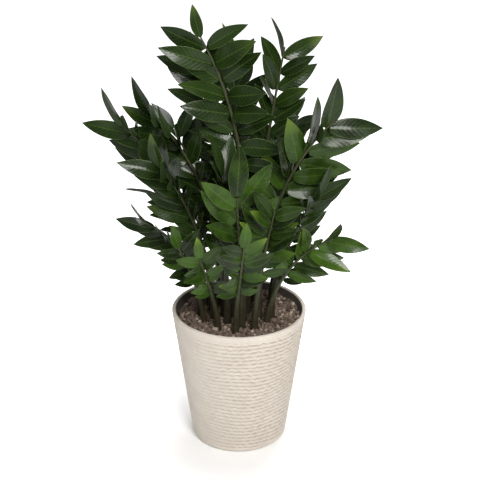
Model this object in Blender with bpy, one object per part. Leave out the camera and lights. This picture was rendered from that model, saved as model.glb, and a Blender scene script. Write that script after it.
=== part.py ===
# A zz plant in a tapered round planter: planter, potting mix, a bed of loose granules on top, and the
# plant's fronds, each a stalk with two ranks of leaflets and one at its end. Metres, +Z up. The origin
# is the centre of the planter's flat underside.

import math

import bmesh
import bpy
import numpy as np
from mathutils.bvhtree import BVHTree

# Planter
PLANTER_HEIGHT = 0.317
RIM_RADIUS = 0.150
BASE_RADIUS = 0.106
WALL = 0.009
FLOOR = 0.014
FOOT_ROUND = 0.012
ROUND_SIDES = 64
ROUND_STEPS = 4

# What the planter holds
GRANULE_TOP = 0.300
GRANULE_DEPTH = 0.026
GAP = 0.0004

# Stalks
STALK_SIDES = 6
BURIED = 0.060
GIRTH_SHORT = 0.0046
GIRTH_TALL = 0.0088
TIP_GIRTH = 0.0017
SWELLING = 0.30
SWELLING_LENGTH = 0.045
BARE_RINGS = 6
UPRIGHT_START = 0.26
STEADY_END = 0.40
SEAT = 0.0070

# Leaflets
LEAFLET_WIDTH = 0.38
LEAFLET_THICK = 0.0014
ARCH = 0.13
STATIONS = ((0.36, 1.0), (0.72, 0.74))
SPREAD_FALL = 9.0
CUPPING = 24.0
SHINGLE = 24.0
SPREAD_JITTER = 14.0
CUP_JITTER = 22.0
ROLL_JITTER = 24.0
LENGTH_JITTER = 0.12
CLEARANCE = 0.0012
CLEAR_FROM = 0.03
CLEAR_OF_OWN_STALK = 0.20

# One frond a row: where its stalk meets the granules, where the stalk ends, how steeply it ends in
# degrees, which way its leaflet ranks spread (0 is along X, 90 along Y), the pairs of leaflets, the
# length of a leaflet, the share of the stalk below the first pair, the angle between leaflet and
# stalk, how much wider that angle is on the right, and the size of the end leaflet (0 is none).
# The front fronds come first.
FIELDS = ("foot", "tip", "rise", "face", "pairs", "leaf", "bare", "spread", "sway", "end")
ROWS = (
    ((-0.007, -0.084), (0.010, -0.196, 0.546), 64, 8, 8, 0.064, 0.42, 42, 0, 0.95),
    ((0.008, -0.032), (-0.076, -0.050, 0.940), 62, -12, 8, 0.107, 0.54, 58, 11, 0.62),
    ((0.042, -0.016), (0.194, -0.066, 0.772), 46, 14, 8, 0.116, 0.46, 40, 11, 0.0),
    ((0.017, 0.010), (0.094, 0.020, 0.902), 80, 14, 9, 0.086, 0.50, 46, 4, 0.0),
    ((-0.046, -0.064), (-0.080, -0.162, 0.508), 60, 16, 6, 0.058, 0.44, 44, 0, 0.90),
    ((-0.078, -0.036), (-0.124, -0.128, 0.516), 58, 26, 6, 0.060, 0.46, 44, 0, 0.95),
    ((0.034, -0.066), (0.072, -0.150, 0.606), 68, -10, 8, 0.078, 0.42, 38, 0, 0.0),
    ((0.006, -0.060), (-0.004, -0.140, 0.632), 78, 4, 5, 0.108, 0.46, 34, 0, 1.05),
    ((0.062, -0.042), (0.196, -0.104, 0.526), 26, 0, 6, 0.086, 0.46, 46, 0, 0.0),
    ((0.072, -0.014), (0.164, -0.070, 0.614), 58, 34, 8, 0.078, 0.42, 40, 0, 0.90),
    ((-0.055, -0.014), (-0.158, -0.106, 0.684), 52, -30, 7, 0.096, 0.44, 34, 0, 0.90),
    ((-0.032, -0.006), (-0.178, -0.034, 0.770), 46, -26, 8, 0.098, 0.44, 40, 0, 0.95),
    ((-0.060, 0.022), (-0.236, -0.040, 0.750), 44, -34, 8, 0.096, 0.44, 38, 0, 1.00),
    ((-0.086, 0.004), (-0.190, -0.034, 0.528), 34, -40, 7, 0.078, 0.42, 40, 0, 0.90),
    ((-0.008, -0.006), (-0.090, 0.028, 0.872), 74, 16, 8, 0.088, 0.48, 50, 0, 0.70),
    ((0.068, 0.014), (0.138, -0.064, 0.450), 30, 0, 5, 0.052, 0.50, 42, 0, 0.90),
    ((0.044, 0.032), (0.110, 0.066, 0.722), 66, 62, 7, 0.088, 0.44, 46, 0, 0.85),
    ((0.000, 0.042), (-0.014, 0.084, 0.856), 80, 58, 8, 0.088, 0.46, 46, 0, 0.95),
    ((-0.025, -0.040), (-0.034, -0.090, 0.660), 80, 74, 6, 0.098, 0.44, 36, 0, 1.00),
    ((-0.030, 0.026), (-0.066, 0.110, 0.806), 68, -76, 8, 0.092, 0.44, 44, 0, 0.90),
    ((0.026, 0.064), (0.104, 0.160, 0.690), 56, -30, 7, 0.092, 0.42, 44, 0, 0.90),
    ((-0.042, 0.054), (-0.146, 0.130, 0.690), 50, 42, 7, 0.092, 0.42, 44, 0, 0.90),
    ((-0.004, 0.072), (-0.022, 0.180, 0.706), 58, 6, 7, 0.094, 0.42, 44, 0, 0.90),
    ((0.072, 0.044), (0.160, 0.118, 0.616), 54, -15, 6, 0.093, 0.44, 38, 0, 0.85),
    ((-0.074, 0.046), (-0.184, 0.112, 0.550), 40, 54, 5, 0.088, 0.46, 42, 0, 0.90),
    ((0.040, 0.090), (0.072, 0.196, 0.530), 45, -12, 5, 0.085, 0.46, 44, 0, 0.90),
    ((-0.046, 0.088), (-0.082, 0.188, 0.520), 42, 20, 5, 0.086, 0.46, 44, 0, 0.90),
)
FRONDS = [dict(zip(FIELDS, row)) for row in ROWS]


def unit(vector):
    return vector / np.linalg.norm(vector)


def material(name, color, roughness):
    """A Principled BSDF material that isn't metal."""
    made = bpy.data.materials.new(name)
    made.use_nodes = True
    shader = made.node_tree.nodes["Principled BSDF"]
    shader.inputs["Base Color"].default_value = (*color, 1.0)
    shader.inputs["Roughness"].default_value = roughness
    shader.inputs["Metallic"].default_value = 0.0
    made.diffuse_color = (*color, 1.0)
    return made


def new_object(name, bm, finish):
    """An object of this mesh, faces out and shaded smooth, in the scene."""
    bmesh.ops.recalc_face_normals(bm, faces=bm.faces[:])
    mesh = bpy.data.meshes.new(name)
    bm.to_mesh(mesh)
    bm.free()
    mesh.materials.append(finish)
    mesh.shade_smooth()
    made = bpy.data.objects.new(name, mesh)
    bpy.context.scene.collection.objects.link(made)
    return made


def turned(name, profile, finish):
    """A solid of revolution about Z. The profile's first and last points are on the axis."""
    bm = bmesh.new()
    angles = [2 * math.pi * k / ROUND_SIDES for k in range(ROUND_SIDES)]
    rings = []
    for radius, height in profile[1:-1]:
        rings.append([bm.verts.new((radius * math.cos(a), radius * math.sin(a), height)) for a in angles])
    for below, above in zip(rings, rings[1:]):
        bridge(bm, below, above)
    fan(bm, rings[0], bm.verts.new((0, 0, profile[0][1])))
    fan(bm, rings[-1], bm.verts.new((0, 0, profile[-1][1])))
    return new_object(name, bm, finish)


def bridge(bm, below, above, open_sides=()):
    """Faces between two rings of vertices, leaving the named sides open."""
    count = len(below)
    for k in range(count):
        if k not in open_sides:
            bm.faces.new((below[k - 1], below[k], above[k], above[k - 1]))


def fan(bm, ring, point):
    for k in range(len(ring)):
        bm.faces.new((ring[k - 1], ring[k], point))


def outer_radius(height):
    return BASE_RADIUS + (RIM_RADIUS - BASE_RADIUS) * height / PLANTER_HEIGHT


def inner_radius(height):
    return outer_radius(height) - WALL


def planter(finish):
    """The tapered pot: flat underside, rounded foot, half-round lip, plain inside."""
    lip = WALL / 2
    profile = [(0, 0), (outer_radius(0) - FOOT_ROUND, 0)]
    for step in range(1, ROUND_STEPS + 1):
        turn = math.pi / 2 * step / ROUND_STEPS
        height = FOOT_ROUND * (1 - math.cos(turn))
        profile.append((outer_radius(height) - FOOT_ROUND * (1 - math.sin(turn)), height))
    lip_height = PLANTER_HEIGHT - lip
    for step in range(2 * ROUND_STEPS + 1):
        turn = math.pi * step / (2 * ROUND_STEPS)
        radius = outer_radius(lip_height) - lip + lip * math.cos(turn)
        profile.append((radius, lip_height + lip * math.sin(turn)))
    profile += [(inner_radius(FLOOR), FLOOR), (0, FLOOR)]
    return turned("planter", profile, finish)


def filling(name, low, high, finish):
    """A layer that fills the planter from one height to another, short of the wall by the gap."""
    profile = [(0, low), (inner_radius(low) - GAP, low), (inner_radius(high) - GAP, high), (0, high)]
    return turned(name, profile, finish)


def stalk_of(frond):
    """Points and directions along the stalk, evenly spaced, from the granules to its end."""
    foot = np.array([*frond["foot"], GRANULE_TOP])
    tip = np.array(frond["tip"])
    reach = tip - foot
    rise = math.radians(frond["rise"])
    outward = unit(reach[:2])
    end = np.array([*(outward * math.cos(rise)), math.sin(rise)])
    upright = foot + np.array([0, 0, UPRIGHT_START * reach[2]])
    before = tip - end * STEADY_END * np.linalg.norm(reach)
    t = np.linspace(0, 1, 61)[:, None]
    points = (1 - t) ** 3 * foot + 3 * t * (1 - t) ** 2 * upright + 3 * t * t * (1 - t) * before + t**3 * tip
    along = np.concatenate([[0], np.cumsum(np.linalg.norm(np.diff(points, axis=0), axis=1))])
    return points, along


def place_on(stalk, frond, share):
    """Centre, direction, side and front of the stalk at a share of its length."""
    points, along = stalk
    at = share * along[-1]
    step = 0.002
    centre = np.array([np.interp(at, along, points[:, k]) for k in range(3)])
    low = max(at - step, 0.0)
    high = min(at + step, along[-1])
    ends = [np.array([np.interp(d, along, points[:, k]) for k in range(3)]) for d in (low, high)]
    direction = unit(ends[1] - ends[0])
    if share == 0:
        direction = np.array([0.0, 0.0, 1.0])
    turn = math.radians(frond["face"])
    spread = np.array([math.cos(turn), math.sin(turn), 0.0])
    side = unit(spread - direction * spread.dot(direction))
    return centre, direction, side, np.cross(side, direction)


def girth(frond, stalk, share):
    """The stalk's radius: thick and swollen at the foot, thin at the end."""
    tall = (frond["tip"][2] - GRANULE_TOP) / (PLANTER_HEIGHT * 2)
    foot = GIRTH_SHORT + (GIRTH_TALL - GIRTH_SHORT) * min(tall, 1.0)
    swelling = 1 + SWELLING * math.exp(-((share * stalk[1][-1] / SWELLING_LENGTH) ** 2))
    return (foot + (TIP_GIRTH - foot) * share**0.8) * swelling


def leaflets_of(frond, number):
    """The leaflets as they would grow unhindered, from the lowest pair up to the one at the end."""
    chance = np.random.default_rng(100 + number)
    made = []
    for pair in range(frond["pairs"]):
        up = pair / frond["pairs"]
        share = frond["bare"] + (1 - frond["bare"]) * (up + 0.35 / frond["pairs"])
        for side in (1, -1):
            jitter = chance.uniform(-1, 1, 4)
            spread = frond["spread"] + side * frond["sway"] + SPREAD_FALL * (1 - 2 * up)
            length = frond["leaf"] * (0.78 + 0.28 * math.sin(0.75 * math.pi * up))
            made.append(
                dict(
                    share=share,
                    side=side,
                    spread=spread + SPREAD_JITTER * jitter[0],
                    cup=CUPPING + CUP_JITTER * jitter[1],
                    roll=SHINGLE + ROLL_JITTER * jitter[2],
                    length=length * (1 + LENGTH_JITTER * jitter[3]),
                )
            )
    if frond["end"]:
        length = frond["leaf"] * frond["end"]
        made.append(dict(share=1.0, side=0, spread=12.0, cup=-60.0, roll=0.0, length=length))
    return made


def blade_axes(leaflet, here):
    """The way a leaflet points, its width and its upper face, after its three turns."""
    centre, direction, side, front = here
    spread, cup, roll = (math.radians(leaflet[key]) for key in ("spread", "cup", "roll"))
    away = side * (leaflet["side"] or 1)
    out = away * math.cos(cup) + front * math.sin(cup)
    point = unit(direction * math.cos(spread) + out * math.sin(spread))
    across = unit(direction - point * direction.dot(point)) if leaflet["side"] else side
    face = np.cross(across, point) * (leaflet["side"] or -1)
    if face.dot(front) < 0:
        face = -face
    width = across * math.cos(roll) - face * math.sin(roll)
    upper = face * math.cos(roll) + across * math.sin(roll)
    return point, width, upper


def blade_section(leaflet, base, axes, share):
    """Centre of the blade at a share of its length, and its upper face there: it arches back."""
    point, width, upper = axes
    length = leaflet["length"]
    centre = base + point * length * share - upper * length * ARCH * share * share
    return centre, unit(upper + point * 2 * ARCH * share)


def base_of(leaflet, here, radius):
    centre, direction, side, front = here
    return centre + side * leaflet["side"] * radius * 0.866


def clear_plate(leaflet, here, radius, margin, start=CLEAR_FROM):
    """The corners and faces of the blade as a closed plate, wider all round by the margin."""
    axes = blade_axes(leaflet, here)
    base = base_of(leaflet, here, radius)
    half = leaflet["length"] * LEAFLET_WIDTH / 2
    grown = start / STATIONS[0][0]
    first_width = SEAT / 2 + (half - SEAT / 2) * grown
    first_thick = radius / 2 + (LEAFLET_THICK / 2 - radius / 2) * grown
    sizes = [(start, first_width, first_thick)]
    sizes += [(share, half * wide, LEAFLET_THICK / 2) for share, wide in STATIONS]
    corners = []
    for share, wide, thick in sizes:
        centre, upper = blade_section(leaflet, base, axes, share)
        across = axes[1] * (wide + margin)
        up = upper * (thick + margin)
        corners += [centre - across - up, centre - across + up, centre + across + up, centre + across - up]
    tip, upper = blade_section(leaflet, base, axes, 1.0)
    corners.append(tip + (tip - base) * margin / leaflet["length"])
    faces = [(0, 1, 2, 3)]
    for ring in range(len(STATIONS)):
        for k in range(4):
            low = 4 * ring
            faces.append((low + k, low + (k + 1) % 4, low + 4 + (k + 1) % 4, low + 4 + k))
    last = 4 * len(STATIONS)
    faces += [(last + k, last + (k + 1) % 4, last + 4) for k in range(4)]
    return corners, faces


def tree(corners, faces):
    return BVHTree.FromPolygons([tuple(c) for c in corners], faces)


def ring_points(here, radius, radius_front=None):
    """A six-sided ring about the stalk, with flat sides facing its leaflet ranks."""
    centre, direction, side, front = here
    made = []
    for k in range(STALK_SIDES):
        turn = math.pi / STALK_SIDES * (2 * k + 1)
        aside = side * radius * math.cos(turn)
        made.append(centre + aside + front * (radius_front or radius) * math.sin(turn))
    return made


def stalk_tree(frond, stalk):
    corners, faces = [], []
    shares = np.linspace(0, 1, 24)
    for ring, share in enumerate(shares):
        corners += ring_points(place_on(stalk, frond, share), girth(frond, stalk, share))
        if ring:
            low = STALK_SIDES * (ring - 1)
            for k in range(STALK_SIDES):
                after = (k + 1) % STALK_SIDES
                faces.append((low + k, low + after, low + STALK_SIDES + after, low + STALK_SIDES + k))
    return tree(corners, faces)


def swings():
    """Small turns of a leaflet, from the least to the greatest."""
    found = []
    for spread in (0, 8, -8, 16, -16, 26):
        for cup in (0, 12, -12, 24, -24, 38):
            for roll in (0, 14, -14, 30, -30):
                found.append((abs(spread) + abs(cup) + 0.6 * abs(roll), spread, cup, roll))
    return [swing[1:] for swing in sorted(found)]


def settle(fronds):
    """Each frond's leaflets, swung just enough to clear the stalks and the leaflets already there."""
    stalks = [stalk_of(frond) for frond in fronds]
    stalk_trees = [stalk_tree(frond, stalk) for frond, stalk in zip(fronds, stalks)]
    turns = swings()
    settled = []
    blades = []
    for number, (frond, stalk) in enumerate(zip(fronds, stalks)):
        kept = []
        others = stalk_trees[:number] + stalk_trees[number + 1 :]
        for leaflet in reversed(leaflets_of(frond, number)):
            here = place_on(stalk, frond, leaflet["share"])
            radius = girth(frond, stalk, leaflet["share"])
            found = first_clear(leaflet, here, radius, others + blades, stalk_trees[number], turns)
            if found:
                kept.append(found)
                blades.append(tree(*clear_plate(found, here, radius, 0.0)))
        settled.append(kept[::-1])
    return stalks, settled


def first_clear(leaflet, here, radius, taken, own_stalk, turns):
    """The leaflet at the first swing, and failing that the first smaller size, that touches nothing."""
    for size in (1.0, 0.84, 0.68):
        for spread, cup, roll in turns:
            tried = dict(leaflet)
            tried["spread"] += spread
            tried["cup"] += cup
            tried["roll"] += roll
            tried["length"] *= size
            plate = tree(*clear_plate(tried, here, radius, CLEARANCE))
            if any(plate.overlap(other) for other in taken):
                continue
            plate = tree(*clear_plate(tried, here, radius, CLEARANCE, CLEAR_OF_OWN_STALK))
            if not plate.overlap(own_stalk):
                return tried
    return None


def grow_leaflet(bm, corners, leaflet, here, radius):
    """A side leaflet, lofted from an open side of the stalk to its tip."""
    axes = blade_axes(leaflet, here)
    base = base_of(leaflet, here, radius)
    half = leaflet["length"] * LEAFLET_WIDTH / 2
    below = corners
    for share, wide in STATIONS:
        centre, upper = blade_section(leaflet, base, axes, share)
        across = axes[1] * half * wide
        up = upper * LEAFLET_THICK / 2
        places = (centre - across - up, centre - across + up, centre + across + up, centre + across - up)
        above = [bm.verts.new(place) for place in places]
        bridge(bm, below, above)
        below = above
    fan(bm, below, bm.verts.new(blade_section(leaflet, base, axes, 1.0)[0]))


def grow_end(bm, ring, leaflet, here):
    """The leaflet at the stalk's end: the stalk itself goes on, flattened into a blade."""
    axes = blade_axes(leaflet, here)
    half = leaflet["length"] * LEAFLET_WIDTH / 2
    below = ring
    for share, wide in STATIONS:
        centre, upper = blade_section(leaflet, here[0], axes, share)
        across = axes[1] if axes[1].dot(here[2]) > 0 else -axes[1]
        section = (centre, axes[0], across, upper)
        above = [bm.verts.new(place) for place in ring_points(section, half * wide, LEAFLET_THICK / 2)]
        bridge(bm, below, above)
        below = above
    fan(bm, below, bm.verts.new(blade_section(leaflet, here[0], axes, 1.0)[0]))


def frond_object(name, frond, stalk, leaflets, finish):
    """One frond as one closed body: buried foot, stalk, side leaflets and the one at the end."""
    bm = bmesh.new()
    length = stalk[1][-1]
    foot = place_on(stalk, frond, 0)
    buried = (foot[0] - np.array([0, 0, BURIED]), *foot[1:])
    rings = [[bm.verts.new(p) for p in ring_points(buried, girth(frond, stalk, 0))]]
    bm.faces.new(rings[0])
    sides = {}
    for leaflet in leaflets:
        sides.setdefault(leaflet["share"], []).append(leaflet)
    end = sides.pop(1.0, [None])[0]
    marks = [(share, ()) for share in np.linspace(0, frond["bare"], BARE_RINGS)]
    for share, pair in sides.items():
        marks += [(share - SEAT / 2 / length, ()), (share + SEAT / 2 / length, pair)]
    marks.append((1.0, ()))
    for share, pair in marks:
        here = place_on(stalk, frond, share)
        ring = [bm.verts.new(p) for p in ring_points(here, girth(frond, stalk, share))]
        below = rings[-1]
        open_sides = [0 if leaflet["side"] > 0 else 3 for leaflet in pair]
        bridge(bm, below, ring, open_sides)
        for leaflet, k in zip(pair, open_sides):
            seat = place_on(stalk, frond, leaflet["share"])
            front_first = (below[k - 1], below[k], ring[k], ring[k - 1])
            corners = front_first if leaflet["side"] > 0 else (below[k], below[k - 1], ring[k - 1], ring[k])
            grow_leaflet(bm, corners, leaflet, seat, girth(frond, stalk, leaflet["share"]))
        rings.append(ring)
    if end:
        grow_end(bm, rings[-1], end, place_on(stalk, frond, 1.0))
    else:
        bm.faces.new(rings[-1])
    return new_object(name, bm, finish)


def sockets(fronds, stalks, finish):
    """The cutter for the holes that the stalks stand in, wider than each stalk by the gap."""
    bm = bmesh.new()
    for frond, stalk in zip(fronds, stalks):
        foot = place_on(stalk, frond, 0)
        rings = []
        for height in (-BURIED - GAP, GAP * 50):
            here = (foot[0] + np.array([0, 0, height]), *foot[1:])
            wide = girth(frond, stalk, 0) + GAP / math.cos(math.pi / STALK_SIDES)
            rings.append([bm.verts.new(p) for p in ring_points(here, wide)])
            bm.faces.new(rings[-1])
        bridge(bm, *rings)
    cutter = new_object("sockets", bm, finish)
    cutter.hide_render = True
    cutter.display_type = "WIRE"
    return cutter


def cut(solid, cutter):
    modifier = solid.modifiers.new("Sockets", "BOOLEAN")
    modifier.operation = "DIFFERENCE"
    modifier.solver = "EXACT"
    modifier.object = cutter


def clear_scene():
    for old in list(bpy.data.objects):
        bpy.data.objects.remove(old)


def main():
    clear_scene()
    cast_stone = material("cast_stone", (0.72, 0.68, 0.60), 0.72)
    soil = material("potting_mix", (0.035, 0.024, 0.017), 0.95)
    granules = material("granules", (0.30, 0.235, 0.21), 0.9)
    foliage = material("foliage", (0.022, 0.075, 0.022), 0.32)
    planter(cast_stone)
    bed_floor = GRANULE_TOP - GRANULE_DEPTH
    mix = filling("potting_mix", FLOOR + GAP, bed_floor - GAP, soil)
    bed = filling("granule_bed", bed_floor, GRANULE_TOP, granules)
    stalks, leaflets = settle(FRONDS)
    holes = sockets(FRONDS, stalks, soil)
    cut(mix, holes)
    cut(bed, holes)
    for number, frond in enumerate(FRONDS):
        frond_object(f"frond_{number + 1:02d}", frond, stalks[number], leaflets[number], foliage)


main()
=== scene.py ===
import math
import bmesh
import bpy
import numpy as np
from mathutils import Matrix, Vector
from mathutils.bvhtree import BVHTree


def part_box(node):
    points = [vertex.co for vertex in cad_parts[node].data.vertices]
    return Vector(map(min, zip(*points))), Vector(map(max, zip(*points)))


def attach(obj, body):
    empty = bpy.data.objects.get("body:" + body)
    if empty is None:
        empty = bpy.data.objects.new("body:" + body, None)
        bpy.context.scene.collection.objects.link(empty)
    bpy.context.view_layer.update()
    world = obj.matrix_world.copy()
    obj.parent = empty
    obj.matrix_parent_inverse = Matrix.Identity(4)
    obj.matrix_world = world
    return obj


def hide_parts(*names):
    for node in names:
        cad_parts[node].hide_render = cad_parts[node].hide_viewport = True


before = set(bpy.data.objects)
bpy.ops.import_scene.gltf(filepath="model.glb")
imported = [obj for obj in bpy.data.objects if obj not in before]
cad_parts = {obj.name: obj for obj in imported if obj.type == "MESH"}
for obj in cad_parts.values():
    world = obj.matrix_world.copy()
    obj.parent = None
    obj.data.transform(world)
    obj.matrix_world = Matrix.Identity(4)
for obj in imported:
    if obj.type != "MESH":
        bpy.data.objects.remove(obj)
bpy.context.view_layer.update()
print("frame loaded:", len(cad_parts), "solids")


def unit(vectors):
    # each vector divided by its own length
    return vectors / np.linalg.norm(vectors, axis=-1, keepdims=True)


def waves(count, along, around, seed, angle, height):
    # sum of sine waves that close up round the pot: sin(n * angle + k * height + phase), n whole
    chance = np.random.default_rng(seed)
    total = np.zeros(np.broadcast(angle, height).shape)
    for _ in range(count):
        turns = chance.integers(around[0], around[1] + 1)
        rate = chance.uniform(along[0], along[1]) * chance.choice((-1, 1))
        total += np.sin(turns * angle + rate * height + chance.uniform(0, 2 * math.pi))
    return total / math.sqrt(count)


def ringQuads(rings, sides):
    # quads between neighbouring rings of a closed tube, ring by ring
    ring = np.arange(rings - 1)[:, None] * sides
    side = np.arange(sides)[None, :]
    after = (side + 1) % sides
    quads = np.stack([ring + side, ring + after, ring + sides + after, ring + sides + side], axis=-1)
    return quads.reshape(-1, 4)


def capTriangles(firstRing, lastRing, sides, lowPole, highPole):
    # fans that close the two ends of a tube onto a point each
    side = np.arange(sides)
    after = (side + 1) % sides
    low = np.stack([firstRing + after, firstRing + side, np.full(sides, lowPole)], axis=-1)
    high = np.stack([lastRing + side, lastRing + after, np.full(sides, highPole)], axis=-1)
    return np.concatenate([low, high])


def repeated(faces, copies, step):
    # the same faces for every copy, each copy's vertices numbered on from the last
    return (faces[None] + (np.arange(copies) * step)[:, None, None]).reshape(-1, faces.shape[1])


def newPiece(name, points, quads, triangles, material, colors=None, colorName="", smooth=True):
    # puts arrays of points and faces into a mesh, with a colour attribute if one is given
    mesh = bpy.data.meshes.new(name)
    mesh.vertices.add(len(points))
    mesh.vertices.foreach_set("co", np.ascontiguousarray(points, np.float32).ravel())
    corners = np.concatenate([quads.ravel(), triangles.ravel()]).astype(np.int32)
    sizes = np.concatenate([np.full(len(quads), 4), np.full(len(triangles), 3)])
    mesh.loops.add(len(corners))
    mesh.loops.foreach_set("vertex_index", corners)
    mesh.polygons.add(len(sizes))
    mesh.polygons.foreach_set("loop_start", (np.cumsum(sizes) - sizes).astype(np.int32))
    mesh.update(calc_edges=True)
    mesh.validate()
    if colors is not None:
        layer = mesh.color_attributes.new(colorName, "FLOAT_COLOR", "POINT")
        layer.data.foreach_set("color", np.ascontiguousarray(colors, np.float32).ravel())
    mesh.polygons.foreach_set("use_smooth", np.full(len(sizes), smooth))
    mesh.materials.append(material)
    piece = bpy.data.objects.new(name, mesh)
    bpy.context.scene.collection.objects.link(piece)
    return piece


def standsFor(piece, slot, *nodes):
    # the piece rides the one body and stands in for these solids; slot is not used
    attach(piece, "root")
    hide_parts(*nodes)


def addNode(tree, kind, settings=None, **inputs):
    # a shader node with its settings made and its sockets filled, each by a value or by a link
    node = tree.nodes.new(kind)
    for key, value in (settings or {}).items():
        setattr(node, key, value)
    for key, value in inputs.items():
        numbered = key[0] == "i" and key[1:].isdigit()
        socket = node.inputs[int(key[1:]) if numbered else key.replace("_", " ")]
        if isinstance(value, bpy.types.NodeSocket):
            tree.links.new(value, socket)
        else:
            socket.default_value = value
    return node


def calc(tree, operation, first, second=0.0, clamp=False):
    # one step of arithmetic on two values
    settings = dict(operation=operation, use_clamp=clamp)
    return addNode(tree, "ShaderNodeMath", settings, i0=first, i1=second).outputs[0]


def ramp(tree, value, low, high, toLow=0.0, toHigh=1.0):
    # smooth step of a value from low to high, given back between toLow and toHigh
    node = addNode(tree, "ShaderNodeMapRange", dict(interpolation_type="SMOOTHSTEP"),
                   Value=value, i1=low, i2=high, i3=toLow, i4=toHigh)
    return node.outputs[0]


def mixColor(tree, factor, first, second, blend="MIX"):
    # first * (1 - factor) + second * factor, or the blend that is named, by the same factor
    settings = dict(data_type="RGBA", blend_type=blend)
    node = addNode(tree, "ShaderNodeMix", settings, i0=factor, i6=first, i7=second)
    return node.outputs[2]


def newGroup(name, inputs, outputs):
    # an empty shader node group with named sockets
    tree = bpy.data.node_groups.new(name, "ShaderNodeTree")
    for label, kind, value in inputs:
        socket = tree.interface.new_socket(label, in_out="INPUT", socket_type=kind)
        socket.default_value = value
    for label, kind in outputs:
        tree.interface.new_socket(label, in_out="OUTPUT", socket_type=kind)
    return tree, tree.nodes.new("NodeGroupInput"), tree.nodes.new("NodeGroupOutput")


def useGroup(tree, group, **inputs):
    # a node that runs one of the shared groups
    return addNode(tree, "ShaderNodeGroup", dict(node_tree=group), **inputs)


def newMaterial(name, **constants):
    # an empty material with its shader, whose own sockets take what is the same all over
    material = bpy.data.materials.new(name)
    material.use_nodes = True
    tree = material.node_tree
    shader = tree.nodes["Principled BSDF"]
    for key, value in constants.items():
        shader.inputs[key.replace("_", " ")].default_value = value
    return material, tree, shader


def rgb(red, green, blue):
    # a colour given as it looks on a screen, 0 to 255, in the shader's own linear values:
    # ((c / 255 + 0.055) / 1.055)^2.4, and a straight line for the darkest
    screen = (red, green, blue)
    return tuple(((c / 255 + 0.055) / 1.055) ** 2.4 if c > 10 else c / 3295 for c in screen) + (1.0,)


def mottleGroup():
    # two sizes of noise, added: the wide one shifts the tone, the fine one is grain
    tree, given, made = newGroup(
        "mottle",
        [("Scale", "NodeSocketFloat", 20.0), ("Grain Scale", "NodeSocketFloat", 400.0),
         ("Grain Share", "NodeSocketFloat", 0.3)],
        [("Tone", "NodeSocketFloat"), ("Grain", "NodeSocketFloat")])
    place = addNode(tree, "ShaderNodeTexCoord").outputs["Object"]
    wideScale, fineScale = given.outputs["Scale"], given.outputs["Grain Scale"]
    wide = addNode(tree, "ShaderNodeTexNoise", Vector=place, Scale=wideScale, Detail=3.0).outputs[0]
    fine = addNode(tree, "ShaderNodeTexNoise", Vector=place, Scale=fineScale, Detail=2.0).outputs[0]
    share = given.outputs["Grain Share"]
    kept = calc(tree, "MULTIPLY", ramp(tree, wide, 0.25, 0.75), calc(tree, "SUBTRACT", 1.0, share))
    tone = calc(tree, "ADD", kept, calc(tree, "MULTIPLY", fine, share))
    tree.links.new(tone, made.inputs["Tone"])
    tree.links.new(fine, made.inputs["Grain"])
    return tree


def flecksGroup():
    # round specks: one where the nearest cell point is closer than the size, in a share of the cells
    tree, given, made = newGroup(
        "flecks",
        [("Scale", "NodeSocketFloat", 300.0), ("Size", "NodeSocketFloat", 0.25),
         ("Share", "NodeSocketFloat", 0.3)],
        [("Mask", "NodeSocketFloat")])
    place = addNode(tree, "ShaderNodeTexCoord").outputs["Object"]
    cells = addNode(tree, "ShaderNodeTexVoronoi", Vector=place, Scale=given.outputs["Scale"])
    size = given.outputs["Size"]
    near = ramp(tree, cells.outputs["Distance"], size, calc(tree, "MULTIPLY", size, 0.5))
    chance = addNode(tree, "ShaderNodeSeparateColor", i0=cells.outputs["Color"]).outputs[0]
    chosen = calc(tree, "LESS_THAN", chance, given.outputs["Share"])
    tree.links.new(calc(tree, "MULTIPLY", near, chosen), made.inputs["Mask"])
    return tree


mottle = mottleGroup()
flecks = flecksGroup()


def bumped(tree, shader, height, distance):
    # tilts the shader's normal by the slope of height * distance
    bump = addNode(tree, "ShaderNodeBump", Height=height, Distance=distance)
    tree.links.new(bump.outputs[0], shader.inputs["Normal"])


planterLook = dict(
    height=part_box("planter")[1][2],
    rimRadius=0.150,
    baseRadius=0.106,
    wall=0.009,
    floor=0.014,
    footRound=0.012,
    underMiddle=0.06,       # radius of the smallest ring on the underside
    floorMiddle=0.05,       # and on the floor inside
    sides=288,
    footRings=8,
    wallRings=262,
    lipRings=15,
    insideRings=12,
    insideShadeFrom=17,            # rings from the last to where the painted shade inside begins
    insideShadeBlend=3.0,          # rings over which it comes in
    ridges=33,              # wavy ridges from foot to rim
    ridgeDepth=0.0029,
    longWander=0.26,        # how far the ridges wander in long waves, in ridges
    shortWander=0.085,      # and in short waves
    usualDepth=0.82,        # share of ridgeDepth
    depthChange=0.26,
    roughness=0.00034,
    plainTop=0.013,         # smooth band under the lip
    plainTopBlend=0.006,
    plainFoot=0.007,
    plainFootBlend=0.010,
    smoothSide=-150,        # degrees round from +X where the ridges fade most
    smoothWidth=0.70,       # radians
    smoothShare=0.86,
    cream=rgb(228, 219, 208),
    sand=rgb(210, 201, 189),
    # painted shade: the colour laid into the grooves between the ridges
    groove=rgb(160, 149, 136),
    grooveShade=0.75,
    # painted shade over the inner side of the lip, the inside wall and the floor inside
    inside=rgb(96, 90, 84),
    darkFleck=rgb(120, 104, 88),
    paleFleck=rgb(246, 240, 230),
    bump=0.0019,
)


def outerRadius(height):
    # straight taper: base + (rim - base) * height / full height
    look = planterLook
    return look["baseRadius"] + (look["rimRadius"] - look["baseRadius"]) * height / look["height"]


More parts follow.
